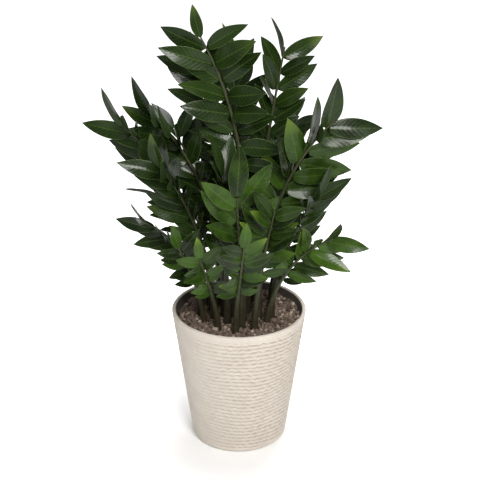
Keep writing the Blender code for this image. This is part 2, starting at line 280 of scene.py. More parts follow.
def planterProfile():
    # radius and height from the underside's middle, round the foot, up the wall, over the lip, down inside
    look = planterLook
    lip = look["wall"] / 2
    foot = look["footRound"]
    quarter = np.linspace(0, math.pi / 2, look["footRings"])
    footHeight = foot * (1 - np.cos(quarter))
    footRadius = outerRadius(footHeight) - foot * (1 - np.sin(quarter))
    lipHeight = look["height"] - lip
    wallHeight = np.linspace(foot, lipHeight, look["wallRings"])[1:-1]
    half = np.linspace(0, math.pi, look["lipRings"])
    lipRadius = outerRadius(lipHeight) - lip + lip * np.cos(half)
    inside = np.linspace(lipHeight, look["floor"], look["insideRings"])[1:]
    radius = np.concatenate([[look["underMiddle"]], footRadius, outerRadius(wallHeight), lipRadius,
                             outerRadius(inside) - look["wall"], [look["floorMiddle"]]])
    height = np.concatenate([[0], footHeight, wallHeight, lipHeight + lip * np.sin(half),
                             inside, [look["floor"]]])
    row = np.arange(len(radius))
    wallRow = (row > len(quarter)) & (row <= len(quarter) + len(wallHeight))
    return radius, height, wallRow


def planterSurface(material):
    # turned wall whose radius dips between wavy ridges:
    # depth * mask * (1 - crest)^1.5, crest a raised cosine of the height over the ridges' pitch
    look = planterLook
    sides = look["sides"]
    radius, height, wallRow = planterProfile()
    angle = np.arange(sides) * 2 * math.pi / sides
    a, z = angle[None, :], height[:, None]
    pitch = look["height"] / look["ridges"]
    longWaves = look["longWander"] * waves(9, (10, 45), (2, 7), 3, a, z)
    shortWaves = look["shortWander"] * waves(16, (60, 240), (22, 66), 4, a, z)
    wander = longWaves + shortWaves
    crest = 0.5 + 0.5 * np.cos(2 * math.pi * (z / pitch + wander))
    depth = look["usualDepth"] + look["depthChange"] * waves(14, (90, 420), (14, 60), 5, a, z)
    broken = np.clip(depth, 0.1, 1.2)
    turn = np.radians(look["smoothSide"])
    aside = np.angle(np.exp(1j * (a - turn))) / look["smoothWidth"]
    faded = 1 - look["smoothShare"] * np.exp(-(aside ** 2))
    top = np.clip((look["height"] - look["plainTop"] - z) / look["plainTopBlend"], 0, 1)
    foot = np.clip((z - look["plainFoot"]) / look["plainFootBlend"], 0, 1)
    strength = faded * top * foot * wallRow[:, None]
    rough = look["roughness"] * waves(18, (450, 1150), (45, 120), 6, a, z)
    dip = strength * (look["ridgeDepth"] * broken * (1 - crest) ** 1.5 + rough)
    r = radius[:, None] - dip
    points = np.stack([r * np.cos(a), r * np.sin(a), z + 0 * a], axis=-1).reshape(-1, 3)
    poles = np.array([[0, 0, height[0]], [0, 0, height[-1]]])
    rings = len(radius)
    quads = ringQuads(rings, sides)
    count = rings * sides
    caps = capTriangles(0, count - sides, sides, count, count + 1)
    # painted shade on the rings inside the pot, handed to the material
    paintedInsideShade = (np.arange(rings) - (rings - look["insideShadeFrom"])) / look["insideShadeBlend"]
    paintedInsideShade = np.clip(paintedInsideShade, 0, 1)[:, None] + 0 * a
    # how far each point sits down in a groove, for the painted shade in the grooves
    groove = np.clip(dip / look["ridgeDepth"], 0, 1)
    data = np.stack([groove, paintedInsideShade, np.zeros_like(dip), np.ones_like(dip)], axis=-1)
    data = np.concatenate([data.reshape(-1, 4), np.array([[0, 0, 0, 1], [0, 1, 0, 1]])])
    points = np.concatenate([points, poles])
    piece = newPiece("planter_wall", points, quads, caps, material, data, "wallData")
    standsFor(piece, "cast_stone", "planter")
    return piece


def castStone():
    # cream stone: mottled, with painted shade in the grooves and over the inside, and fine dark and pale
    # specks
    look = planterLook
    material, tree, shader = newMaterial("castStoneLook", Specular_IOR_Level=0.3)
    wall = addNode(tree, "ShaderNodeAttribute", dict(attribute_name="wallData"))
    parts = addNode(tree, "ShaderNodeSeparateColor", i0=wall.outputs["Color"])
    tone = useGroup(tree, mottle, **{"Scale": 30.0, "Grain Scale": 380.0, "Grain Share": 0.6})
    color = mixColor(tree, tone.outputs["Tone"], look["sand"], look["cream"])
    # painted shade: the grooves darkened towards the groove colour, by their depth
    paintedGrooveShade = calc(tree, "MULTIPLY", parts.outputs[0], look["grooveShade"])
    color = mixColor(tree, paintedGrooveShade, color, look["groove"])
    dark = useGroup(tree, flecks, Scale=310.0, Size=0.20, Share=0.22).outputs[0]
    pale = useGroup(tree, flecks, Scale=210.0, Size=0.24, Share=0.16).outputs[0]
    color = mixColor(tree, calc(tree, "MULTIPLY", dark, 0.34), color, look["darkFleck"])
    color = mixColor(tree, calc(tree, "MULTIPLY", pale, 0.45), color, look["paleFleck"])
    # painted shade: the inside of the pot darkened towards the inside colour
    color = mixColor(tree, parts.outputs[1], color, look["inside"])
    tree.links.new(color, shader.inputs["Base Color"])
    tree.links.new(ramp(tree, tone.outputs["Tone"], 0.0, 1.0, 0.80, 0.58), shader.inputs["Roughness"])
    height = calc(tree, "ADD", tone.outputs["Grain"], calc(tree, "MULTIPLY", dark, -0.5))
    bumped(tree, shader, height, look["bump"])
    return material


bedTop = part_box("granule_bed")[1][2]
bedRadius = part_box("granule_bed")[1][0]
granuleLook = dict(
    spacing=0.0064,
    jitter=0.32,            # share of the spacing
    radius=(0.0030, 0.0050),
    bigShare=0.04,
    bigSize=1.45,
    layers=2,
    upperShare=0.42,        # share of its spots that the upper layer fills
    sunk=0.0042,            # lower layer's middles below the top of the bed
    layerRise=0.0040,
    unevenness=0.0009,
    rimGap=0.0035,
    stalkGap=0.0006,
    packedDepth=0.0064,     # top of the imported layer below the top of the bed
    brown=rgb(122, 105, 90),
    mauve=rgb(136, 118, 107),
    pale=rgb(200, 184, 164),
    # dark: some granules' own colour, and the painted shade on the packed layer beneath
    dark=rgb(58, 49, 42),
)


def pebble():
    # an octahedron with each face cut in four, its corners pushed out to a ball: 18 points, 32 faces
    corners = [(1, 0, 0), (0, 1, 0), (-1, 0, 0), (0, -1, 0), (0, 0, 1), (0, 0, -1)]
    faces = [(0, 1, 4), (1, 2, 4), (2, 3, 4), (3, 0, 4), (1, 0, 5), (2, 1, 5), (3, 2, 5), (0, 3, 5)]
    middles = {}
    cut = []
    for face in faces:
        between = []
        for k in range(3):
            pair = tuple(sorted((face[k], face[(k + 1) % 3])))
            if pair not in middles:
                middles[pair] = len(corners)
                corners.append(tuple((np.array(corners[pair[0]]) + np.array(corners[pair[1]])) / 2))
            between.append(middles[pair])
        cut += [(face[0], between[0], between[2]), (between[0], face[1], between[1]),
                (between[2], between[1], face[2]), tuple(between)]
    return unit(np.array(corners, float)), np.array(cut)


def granuleSpots(stalkFeet):
    # a jittered triangular grid inside the rim in each layer, clear of the stalks
    look = granuleLook
    chance = np.random.default_rng(11)
    spots = []
    for layer in range(look["layers"]):
        step = look["spacing"] * (1.0 + 0.15 * layer)
        rows = np.arange(-bedRadius, bedRadius, step * 0.87)
        columns = np.arange(-bedRadius, bedRadius, step)
        x, y = np.meshgrid(columns, rows)
        x = x + (np.arange(len(rows)) % 2)[:, None] * step / 2 + layer * step * 0.4
        place = np.stack([x, y], axis=-1).reshape(-1, 2)
        place += chance.uniform(-look["jitter"], look["jitter"], place.shape) * step
        keep = np.hypot(*place.T) < bedRadius - look["rimGap"]
        if layer:
            keep &= chance.uniform(size=len(place)) < look["upperShare"]
        place = place[keep]
        swell = look["unevenness"] * np.sin(place[:, 0] * 90) * np.cos(place[:, 1] * 70)
        level = bedTop - look["sunk"] + look["layerRise"] * layer + swell
        uneven = chance.uniform(-look["unevenness"], look["unevenness"], len(place))
        spots.append(np.column_stack([place, level + uneven]))
    spots = np.concatenate(spots)
    feet = np.array([foot[:2] for foot in stalkFeet])
    reach = np.array([foot[2] for foot in stalkFeet]) + look["stalkGap"]
    gap = np.linalg.norm(spots[:, None, :2] - feet[None], axis=2) - reach[None]
    return spots[gap.min(axis=1) > 0]


def granules(material, stalkFeet):
    # each granule is the pebble, stretched, lumped by waves over its surface, turned and set down
    look = granuleLook
    chance = np.random.default_rng(12)
    ball, faces = pebble()
    spots = granuleSpots(stalkFeet)
    count = len(spots)
    stretch = chance.uniform(0.66, 1.18, (count, 1, 3))
    lumps = 1 + 0.13 * chance.normal(size=(count, len(ball), 1)).clip(-1.6, 1.6)
    size = chance.uniform(*look["radius"], (count, 1, 1))
    big = chance.uniform(size=(count, 1, 1)) < look["bigShare"]
    size = size * np.where(big, look["bigSize"], 1)
    shape = ball[None] * lumps * stretch * size
    spin = unit(chance.normal(size=(count, 4)))
    w, x, y, z = spin.T
    turn = np.stack([1 - 2 * (y * y + z * z), 2 * (x * y - z * w), 2 * (x * z + y * w),
                     2 * (x * y + z * w), 1 - 2 * (x * x + z * z), 2 * (y * z - x * w),
                     2 * (x * z - y * w), 2 * (y * z + x * w), 1 - 2 * (x * x + y * y)], axis=-1)
    points = np.einsum("nij,npj->npi", turn.reshape(-1, 3, 3), shape) + spots[:, None]
    tone = np.repeat(chance.uniform(size=(count, 3)), len(ball), axis=0)
    data = np.column_stack([tone, np.ones(len(tone))])
    triangles = repeated(faces, count, len(ball))
    piece = newPiece("granules_loose", points.reshape(-1, 3), np.zeros((0, 4), int), triangles, material,
                     data, "grainData", smooth=False)
    standsFor(piece, "granules", "granule_bed")
    print("granules laid:", count)


def granuleFloor(material):
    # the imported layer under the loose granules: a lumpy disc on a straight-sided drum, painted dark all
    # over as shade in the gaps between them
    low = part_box("granule_bed")[0][2]
    high = bedTop - granuleLook["packedDepth"]
    sides = 96
    share = np.linspace(1, 0.02, 26)
    angle = np.arange(sides) * 2 * math.pi / sides
    top = share[:, None] * (bedRadius - 0.0006)
    x, y = top * np.cos(angle), top * np.sin(angle)
    level = high + 0.0007 * np.sin(x * 700) * np.sin(y * 640)
    upper = np.stack([x, y, level], axis=-1)
    lower = upper[:1].copy()
    lower[..., 2] = low
    points = np.concatenate([lower, upper]).reshape(-1, 3)
    count = len(points)
    poles = np.array([[0, 0, low], [0, 0, high]])
    quads = ringQuads(len(share) + 1, sides)
    caps = capTriangles(0, count - sides, sides, count, count + 1)
    # third channel below zero: the whole layer painted dark, as shade between the loose granules
    data = np.tile([0.0, 0.0, -1.0, 1.0], (count + 2, 1))
    points = np.concatenate([points, poles])
    piece = newPiece("granules_packed", points, quads, caps, material, data, "grainData")
    standsFor(piece, "granules", "granule_bed")


def clayGranule():
    # dull porous clay: each granule has its own mix of brown, mauve, pale and dark, with small pits; the
    # packed layer beneath is painted dark as shade in the gaps
    look = granuleLook
    material, tree, shader = newMaterial("clayGranuleLook", Specular_IOR_Level=0.25)
    own = addNode(tree, "ShaderNodeAttribute", dict(attribute_name="grainData"))
    parts = addNode(tree, "ShaderNodeSeparateColor", i0=own.outputs["Color"])
    color = mixColor(tree, parts.outputs[0], look["brown"], look["mauve"])
    color = mixColor(tree, ramp(tree, parts.outputs[1], 0.72, 1.0), color, look["pale"])
    # dark granules at random, and painted shade where the third channel is below zero, on the packed layer
    color = mixColor(tree, ramp(tree, parts.outputs[2], 0.35, 0.0, 0.0, 0.8), color, look["dark"])
    tone = useGroup(tree, mottle, **{"Scale": 240.0, "Grain Scale": 1500.0, "Grain Share": 0.4})
    shade = calc(tree, "MULTIPLY", tone.outputs["Tone"], 0.35)
    color = mixColor(tree, shade, color, look["dark"], "MULTIPLY")
    tree.links.new(color, shader.inputs["Base Color"])
    tree.links.new(ramp(tree, tone.outputs["Tone"], 0.0, 1.0, 0.75, 0.98), shader.inputs["Roughness"])
    pits = useGroup(tree, flecks, Scale=900.0, Size=0.4, Share=0.5).outputs[0]
    bumped(tree, shader, calc(tree, "SUBTRACT", tone.outputs["Grain"], pits), 0.0006)
    return material


mixFinish = dict(
    dark=rgb(34, 26, 20),
    light=rgb(66, 50, 38),
    fibre=rgb(140, 118, 92),
)


def pottingMixLook():
    # dark crumbly mix with pale flecks of fibre
    material, tree, shader = newMaterial("pottingMixLook")
    tone = useGroup(tree, mottle, **{"Scale": 90.0, "Grain Scale": 600.0, "Grain Share": 0.5})
    color = mixColor(tree, tone.outputs["Tone"], mixFinish["dark"], mixFinish["light"])
    fibre = useGroup(tree, flecks, Scale=260.0, Size=0.22, Share=0.2).outputs[0]
    color = mixColor(tree, calc(tree, "MULTIPLY", fibre, 0.6), color, mixFinish["fibre"])
    tree.links.new(color, shader.inputs["Base Color"])
    tree.links.new(ramp(tree, tone.outputs["Tone"], 0.0, 1.0, 0.85, 1.0), shader.inputs["Roughness"])
    bumped(tree, shader, tone.outputs["Grain"], 0.0015)
    return material


# how the fronds stand: the same rows and rules as the solids
frondFields = ("foot", "tip", "rise", "face", "pairs", "leaf", "bare", "spread", "sway", "end")
frondRows = (
    ((-0.007, -0.084), (0.010, -0.196, 0.546), 64, 8, 8, 0.064, 0.42, 42, 0, 0.95),
    ((0.008, -0.032), (-0.076, -0.050, 0.940), 62, -12, 8, 0.107, 0.54, 58, 11, 0.62),
    ((0.042, -0.016), (0.194, -0.066, 0.772), 46, 14, 8, 0.116, 0.46, 40, 11, 0.0),
    ((0.017, 0.010), (0.094, 0.020, 0.902), 80, 14, 9, 0.086, 0.50, 46, 4, 0.0),
    ((-0.046, -0.064), (-0.080, -0.162, 0.508), 60, 16, 6, 0.058, 0.44, 44, 0, 0.90),
    ((-0.078, -0.036), (-0.124, -0.128, 0.516), 58, 26, 6, 0.060, 0.46, 44, 0, 0.95),
    ((0.034, -0.066), (0.072, -0.150, 0.606), 68, -10, 8, 0.078, 0.42, 38, 0, 0.0),
    ((0.006, -0.060), (-0.004, -0.140, 0.632), 78, 4, 5, 0.108, 0.46, 34, 0, 1.05),
    ((0.062, -0.042), (0.196, -0.104, 0.526), 26, 0, 6, 0.086, 0.46, 46, 0, 0.0),
    ((0.072, -0.014), (0.164, -0.070, 0.614), 58, 34, 8, 0.078, 0.42, 40, 0, 0.90),
    ((-0.055, -0.014), (-0.158, -0.106, 0.684), 52, -30, 7, 0.096, 0.44, 34, 0, 0.90),
    ((-0.032, -0.006), (-0.178, -0.034, 0.770), 46, -26, 8, 0.098, 0.44, 40, 0, 0.95),
    ((-0.060, 0.022), (-0.236, -0.040, 0.750), 44, -34, 8, 0.096, 0.44, 38, 0, 1.00),
    ((-0.086, 0.004), (-0.190, -0.034, 0.528), 34, -40, 7, 0.078, 0.42, 40, 0, 0.90),
    ((-0.008, -0.006), (-0.090, 0.028, 0.872), 74, 16, 8, 0.088, 0.48, 50, 0, 0.70),
    ((0.068, 0.014), (0.138, -0.064, 0.450), 30, 0, 5, 0.052, 0.50, 42, 0, 0.90),
    ((0.044, 0.032), (0.110, 0.066, 0.722), 66, 62, 7, 0.088, 0.44, 46, 0, 0.85),
    ((0.000, 0.042), (-0.014, 0.084, 0.856), 80, 58, 8, 0.088, 0.46, 46, 0, 0.95),
    ((-0.025, -0.040), (-0.034, -0.090, 0.660), 80, 74, 6, 0.098, 0.44, 36, 0, 1.00),
    ((-0.030, 0.026), (-0.066, 0.110, 0.806), 68, -76, 8, 0.092, 0.44, 44, 0, 0.90),
    ((0.026, 0.064), (0.104, 0.160, 0.690), 56, -30, 7, 0.092, 0.42, 44, 0, 0.90),
    ((-0.042, 0.054), (-0.146, 0.130, 0.690), 50, 42, 7, 0.092, 0.42, 44, 0, 0.90),
    ((-0.004, 0.072), (-0.022, 0.180, 0.706), 58, 6, 7, 0.094, 0.42, 44, 0, 0.90),
    ((0.072, 0.044), (0.160, 0.118, 0.616), 54, -15, 6, 0.093, 0.44, 38, 0, 0.85),
    ((-0.074, 0.046), (-0.184, 0.112, 0.550), 40, 54, 5, 0.088, 0.46, 42, 0, 0.90),
    ((0.040, 0.090), (0.072, 0.196, 0.530), 45, -12, 5, 0.085, 0.46, 44, 0, 0.90),
    ((-0.046, 0.088), (-0.082, 0.188, 0.520), 42, 20, 5, 0.086, 0.46, 44, 0, 0.90),
)
stalkRules = dict(
    girthShort=0.0046,
    girthTall=0.0088,
    tipGirth=0.0017,
    swelling=0.30,
    swellingLength=0.045,
    uprightStart=0.26,      # share of its height a stalk would climb straight up
    steadyEnd=0.40,         # share of its reach over which it keeps the rise at its end
    tallReach=0.634,        # a stalk this high above the granules has the full girth
    jointSwelling=0.20,     # how much thicker a stalk is where a pair grows
    jointLength=0.0035,
)
bladeRules = dict(
    width=0.38,             # share of the length
    thick=0.0014,
    arch=0.13,
    stations=((0.36, 1.0), (0.72, 0.74)),
    firstPair=0.35,         # how far up its own stretch of the stalk a pair grows
    lowLength=0.78,         # a pair's length as a share of the frond's: low + swell * sin(135 degrees * up)
    lengthSwell=0.28,
    spreadFall=9.0,
    cupping=24.0,
    shingle=24.0,
    spreadJitter=14.0,
    cupJitter=22.0,
    rollJitter=24.0,
    lengthJitter=0.12,
    seat=0.0070,
    clearance=0.0012,
    clearFrom=0.03,
    clearOfOwnStalk=0.20,
    sizes=(1.0, 0.84, 0.68),
    root=0.866,             # share of the stalk's radius
)
# fresh growth: how much lighter and yellower a frond is than the others
freshFronds = {
    1: 0.55, 3: 0.35, 5: 0.55, 6: 0.65, 7: 0.35, 8: 0.75, 9: 0.65,
    14: 0.25, 16: 0.55, 24: 0.35, 27: 0.35,
}
usualFreshness = 0.08


def stalkCurve(frond):
    # a cubic Bezier curve that leaves the granules upright and ends at its own rise,
    # with the lengths along it
    foot = np.array([*frond["foot"], bedTop])
    tip = np.array(frond["tip"])
    reach = tip - foot
    rise = math.radians(frond["rise"])
    outward = unit(reach[:2])
    end = np.array([*(outward * math.cos(rise)), math.sin(rise)])
    upright = foot + np.array([0, 0, stalkRules["uprightStart"] * reach[2]])
    before = tip - end * stalkRules["steadyEnd"] * np.linalg.norm(reach)
    t = np.linspace(0, 1, 61)[:, None]
    points = ((1 - t) ** 3 * foot + 3 * t * (1 - t) ** 2 * upright
              + 3 * t * t * (1 - t) * before + t**3 * tip)
    along = np.concatenate([[0], np.cumsum(np.linalg.norm(np.diff(points, axis=0), axis=1))])
    return points, along


def pointsAlong(curve, distance):
    # points at these distances along a curve, straight between the ones it has
    points, along = curve
    return np.stack([np.interp(distance, along, points[:, k]) for k in range(3)], axis=-1)


def placesOn(curve, frond, shares):
    # centre, direction, side and front of the stalk at each share of its length, as whole arrays
    length = curve[1][-1]
    shares = np.atleast_1d(np.asarray(shares, float))
    at = shares * length
    centre = pointsAlong(curve, at)
    ahead, behind = np.minimum(at + 0.002, length), np.maximum(at - 0.002, 0)
    direction = unit(pointsAlong(curve, ahead) - pointsAlong(curve, behind))
    direction[shares <= 0] = (0.0, 0.0, 1.0)
    turn = math.radians(frond["face"])
    spread = np.array([math.cos(turn), math.sin(turn), 0.0])
    side = unit(spread - direction * (direction @ spread)[:, None])
    return centre, direction, side, np.cross(side, direction)


def placeOn(curve, frond, share):
    # the same four for a single share
    return tuple(part[0] for part in placesOn(curve, frond, share))


def girth(frond, curve, share):
    # thick and swollen at the foot, thin at the end: a power of the share times a bell at the foot
    rules = stalkRules
    tall = min((frond["tip"][2] - bedTop) / rules["tallReach"], 1.0)
    foot = rules["girthShort"] + (rules["girthTall"] - rules["girthShort"]) * tall
    swelling = 1 + rules["swelling"] * np.exp(-((share * curve[1][-1] / rules["swellingLength"]) ** 2))
    return (foot + (rules["tipGirth"] - foot) * share**0.8) * swelling


def leafletsOf(frond, number):
    # the leaflets as they would grow unhindered, from the lowest pair up to the one at the end
    rules = bladeRules
    chance = np.random.default_rng(100 + number)
    grown = []
    for pair in range(frond["pairs"]):
        up = pair / frond["pairs"]
        share = frond["bare"] + (1 - frond["bare"]) * (up + rules["firstPair"] / frond["pairs"])
        for side in (1, -1):
            jitter = chance.uniform(-1, 1, 4)
            spread = frond["spread"] + side * frond["sway"] + rules["spreadFall"] * (1 - 2 * up)
            swell = rules["lengthSwell"] * math.sin(0.75 * math.pi * up)
            length = frond["leaf"] * (rules["lowLength"] + swell)
            grown.append(dict(
                share=share,
                side=side,
                spread=spread + rules["spreadJitter"] * jitter[0],
                cup=rules["cupping"] + rules["cupJitter"] * jitter[1],
                roll=rules["shingle"] + rules["rollJitter"] * jitter[2],
                length=length * (1 + rules["lengthJitter"] * jitter[3]),
            ))
    if frond["end"]:
        length = frond["leaf"] * frond["end"]
        grown.append(dict(share=1.0, side=0, spread=12.0, cup=-60.0, roll=0.0, length=length))
    return grown


def bladeAxes(leaflet, here):
    # the way a leaflet points, its width and its upper face, after its spread, cup and roll
    centre, direction, side, front = here
    spread, cup, roll = (math.radians(leaflet[key]) for key in ("spread", "cup", "roll"))
    away = side * (leaflet["side"] or 1)
    out = away * math.cos(cup) + front * math.sin(cup)
    point = unit(direction * math.cos(spread) + out * math.sin(spread))
    across = unit(direction - point * direction.dot(point)) if leaflet["side"] else side
    face = np.cross(across, point) * (leaflet["side"] or -1)
    if face.dot(front) < 0:
        face = -face
    width = across * math.cos(roll) - face * math.sin(roll)
    upper = face * math.cos(roll) + across * math.sin(roll)
    return point, width, upper


def bladeBase(leaflet, here, radius):
    # where a leaflet leaves its stalk: centre + side * radius * root
    return here[0] + here[2] * leaflet["side"] * radius * bladeRules["root"]


def clearPlate(leaflet, here, radius, margin, start):
    # the blade as a flat closed plate, wider all round by the margin
    rules = bladeRules
    point, width, upper = bladeAxes(leaflet, here)
    base = bladeBase(leaflet, here, radius)
    length = leaflet["length"]
    half = length * rules["width"] / 2
    thin = rules["thick"] / 2
    grown = start / rules["stations"][0][0]
    seat = rules["seat"] / 2
    sizes = [(start, seat + (half - seat) * grown, radius / 2 + (thin - radius / 2) * grown)]
    sizes += [(share, half * wide, thin) for share, wide in rules["stations"]]
    corners = []
    for share, wide, thick in sizes:
        centre = base + point * length * share - upper * length * rules["arch"] * share * share
        up = unit(upper + point * 2 * rules["arch"] * share) * (thick + margin)
        across = width * (wide + margin)
        corners += [centre - across - up, centre - across + up, centre + across + up, centre + across - up]
    tip = base + point * length - upper * length * rules["arch"]
    corners.append(tip + (tip - base) * margin / length)
    faces = [(0, 1, 2, 3)]
    for low in (0, 4):
        faces += [(low + k, low + (k + 1) % 4, low + 4 + (k + 1) % 4, low + 4 + k) for k in range(4)]
    faces += [(8 + k, 8 + (k + 1) % 4, 12) for k in range(4)]
    return BVHTree.FromPolygons([tuple(c) for c in corners], faces)


def tubePoints(places, radius, sides, turnedBy=0.5):
    # rings about a curve: centre + side * r * cos + front * r * sin, one row a ring
    centre, direction, side, front = places
    angle = 2 * math.pi * (np.arange(sides) + turnedBy) / sides
    r = np.asarray(radius)[:, None, None]
    return (centre[:, None] + side[:, None] * r * np.cos(angle)[None, :, None]
            + front[:, None] * r * np.sin(angle)[None, :, None])


def stalkTree(frond, curve):
    # the stalk as a plain tube, to test what touches it
    rings, sides = 24, 6
    shares = np.linspace(0, 1, rings)
    tube = tubePoints(placesOn(curve, frond, shares), girth(frond, curve, shares), sides)
    return BVHTree.FromPolygons(tube.reshape(-1, 3).tolist(), ringQuads(rings, sides).tolist())


def swings():
    # small turns of a leaflet, from the least to the greatest
    found = []
    for spread in (0, 8, -8, 16, -16, 26):
        for cup in (0, 12, -12, 24, -24, 38):
            for roll in (0, 14, -14, 30, -30):
                found.append((abs(spread) + abs(cup) + 0.6 * abs(roll), spread, cup, roll))
    return [swing[1:] for swing in sorted(found)]


def firstClear(leaflet, here, radius, taken, ownStalk, turns):
    # the leaflet at the first swing, and failing that the first smaller size, that touches nothing
    rules = bladeRules
    for size in rules["sizes"]:
        for spread, cup, roll in turns:
            tried = dict(leaflet)
            tried["spread"] += spread
            tried["cup"] += cup
            tried["roll"] += roll
            tried["length"] *= size
            plate = clearPlate(tried, here, radius, rules["clearance"], rules["clearFrom"])
            if any(plate.overlap(other) for other in taken):
                continue
            plate = clearPlate(tried, here, radius, rules["clearance"], rules["clearOfOwnStalk"])
            if not plate.overlap(ownStalk):
                return tried
    return None


def settleFronds(fronds):
    # each frond's leaflets, swung just enough to clear the stalks and the leaflets already there
    curves = [stalkCurve(frond) for frond in fronds]
    trees = [stalkTree(frond, curve) for frond, curve in zip(fronds, curves)]
    turns = swings()
    settled = []
    blades = []
    for number, (frond, curve) in enumerate(zip(fronds, curves)):
        kept = []
        others = trees[:number] + trees[number + 1:]
        for leaflet in reversed(leafletsOf(frond, number)):
            here = placeOn(curve, frond, leaflet["share"])
            radius = float(girth(frond, curve, leaflet["share"]))
            found = firstClear(leaflet, here, radius, others + blades, trees[number], turns)
            if found:
                kept.append(found)
                blades.append(clearPlate(found, here, radius, 0.0, bladeRules["clearFrom"]))
        settled.append(kept[::-1])
    return curves, settled


leafletShape = dict(
    rings=19,
    sides=20,
    thick=0.0009,
    fold=(0.10, 0.26),      # how far the margins stand up, as a share of the half width
    groove=0.0006,          # depth of the midrib's groove
    sickle=0.05,            # sideways curve at the tip, as a share of the length
    waviness=0.07,
)


def bladeGrid(leaflets, places, radii, seed):
    # every blade of a frond at once: a lens-shaped section carried along an arched line.
    # half width = half * sin(pi * u^0.82)^(0.72 + 0.12 u^2) plus a narrow stalk at the base;
    # each section stands up towards its margins, dips along the midrib and waves a little
    look, rules = leafletShape, bladeRules
    chance = np.random.default_rng(seed)
    count = len(leaflets)
    axes = [bladeAxes(leaflet, here) for leaflet, here in zip(leaflets, places)]
    point, width, upper = (np.array([a[k] for a in axes])[:, None, None] for k in range(3))
    base = np.array([bladeBase(*given) for given in zip(leaflets, places, radii)])[:, None, None]
    length = np.array([leaflet["length"] for leaflet in leaflets])[:, None, None, None]
    u = np.linspace(0, 1, look["rings"] + 2)[1:-1] ** 0.9
    u = u[None, :, None, None]
    angle = 2 * math.pi * np.arange(look["sides"]) / look["sides"]
    v = np.cos(angle)[None, None, :, None]
    over = np.sin(angle)[None, None, :, None]
    half = length * rules["width"] / 2 * chance.uniform(0.92, 1.08, (count, 1, 1, 1))
    wide = half * np.sin(math.pi * u**0.82) ** (0.72 + 0.12 * u * u) + 0.0016 * (1 - u) ** 10
    fold = chance.uniform(*look["fold"], (count, 1, 1, 1))
    phase = chance.uniform(0, 2 * math.pi, (count, 1, 1, 1))
    bend = chance.uniform(-1, 1, (count, 1, 1, 1)) * look["sickle"]
    arch = rules["arch"] * chance.uniform(0.85, 1.2, (count, 1, 1, 1))
    wavy = look["waviness"] * v * np.sin(7.5 * u + phase)
    lift = wide * (fold * np.abs(v) ** 1.25 * (1 - 0.5 * u) + wavy)
    lift = lift - look["groove"] * np.exp(-((v / 0.13) ** 2)) * (1 - u)
    rib = 0.35 * np.exp(-((v / 0.12) ** 2)) * np.minimum(over, 0)
    thick = look["thick"] / 2 * (0.45 + 0.75 * (1 - u)) * (over + rib)
    across = v * wide + bend * length * u * u
    middle = base + point * length * (u - 0.012) - upper * length * arch * u * u
    local = unit(upper + point * 2 * arch * u)
    points = middle + width * across + local * (lift + thick)
    lowPole = base[:, 0, 0] - point[:, 0, 0] * length[:, 0, 0] * 0.02
    highPole = (base + point * length - upper * length * arch + width * bend * length)[:, 0, 0]
    under = 0.5 - 0.5 * np.sign(np.round(over, 6))
    tone = chance.uniform(size=(count, 1, 1, 1))
    given = (u, 0.5 + 0.5 * v, under, tone)
    data = np.concatenate([np.broadcast_to(part, points.shape[:3] + (1,)) for part in given], axis=-1)
    return points, lowPole, highPole, data


def leafletPiece(name, node, leaflets, places, radii, seed, material):
    # joins every blade of one frond into a mesh, each a closed tube with a point at either end
    points, lowPole, highPole, data = bladeGrid(leaflets, places, radii, seed)
    count, rings, sides = points.shape[:3]
    each = rings * sides
    body = np.concatenate([points.reshape(count, each, 3), lowPole[:, None], highPole[:, None]], axis=1)
    ends = np.stack([data[:, 0].mean(axis=1), data[:, -1].mean(axis=1)], axis=1)
    colors = np.concatenate([data.reshape(count, each, 4), ends], axis=1)
    quads = repeated(ringQuads(rings, sides), count, each + 2)
    caps = repeated(capTriangles(0, each - sides, sides, each, each + 1), count, each + 2)
    piece = newPiece(name, body.reshape(-1, 3), quads, caps, material, colors.reshape(-1, 4), "blade")
    faceOut(piece)
    standsFor(piece, "foliage", node)


def faceOut(piece):
    # turns every closed part of a piece so that its faces point outwards
    bm = bmesh.new()
    bm.from_mesh(piece.data)
    bmesh.ops.recalc_face_normals(bm, faces=bm.faces[:])
    bm.to_mesh(piece.data)
    bm.free()


def stalkPiece(name, node, frond, curve, leaflets, material):
    # a tube along the stalk from inside the granules to its end, a little thicker at each pair
    rings, sides = 72, 14
    shares = np.concatenate([[-0.03, -0.012], np.linspace(0, 1, rings - 2)])
    places = list(placesOn(curve, frond, np.maximum(shares, 0)))
    places[0] = places[0] + np.array([0, 0, 1.0]) * (np.minimum(shares, 0) * 0.5)[:, None]
    pairs = np.array(sorted({leaflet["share"] for leaflet in leaflets if leaflet["side"]}))
    nearest = np.abs(shares[:, None] - pairs[None]).min(axis=1) * curve[1][-1]
    joint = stalkRules["jointSwelling"] * np.exp(-((nearest / stalkRules["jointLength"]) ** 2))
    radius = girth(frond, curve, np.maximum(shares, 0)) * (1 + joint)
    points = tubePoints(places, radius, sides, 0.0).reshape(-1, 3)
    poles = np.array([places[0][0], places[0][-1] + places[1][-1] * radius[-1]])
    count = len(points)
    caps = capTriangles(0, count - sides, sides, count, count + 1)
    up = np.repeat(np.clip(shares, 0, 1), sides)
    data = np.column_stack([up, np.zeros(count), np.zeros(count), np.ones(count)])
    data = np.concatenate([data, data[[0, -1]]])
    points = np.concatenate([points, poles])
    piece = newPiece(name, points, ringQuads(rings, sides), caps, material, data, "stem")
    faceOut(piece)
    standsFor(piece, "foliage", node)


leafletFinish = dict(
    deep=rgb(14, 24, 9),
    middle=rgb(29, 48, 13),
    fresh=rgb(70, 104, 26),
    lime=rgb(124, 150, 52),
    under=rgb(56, 76, 38),
    vein=rgb(112, 138, 66),
    sideVeins=11.0,         # from the base to the tip
    veinSlant=2.1,          # how many of them a vein passes on its way out
    roughness=(0.20, 0.33),
    underRoughness=0.22,
    bump=0.00022,
)


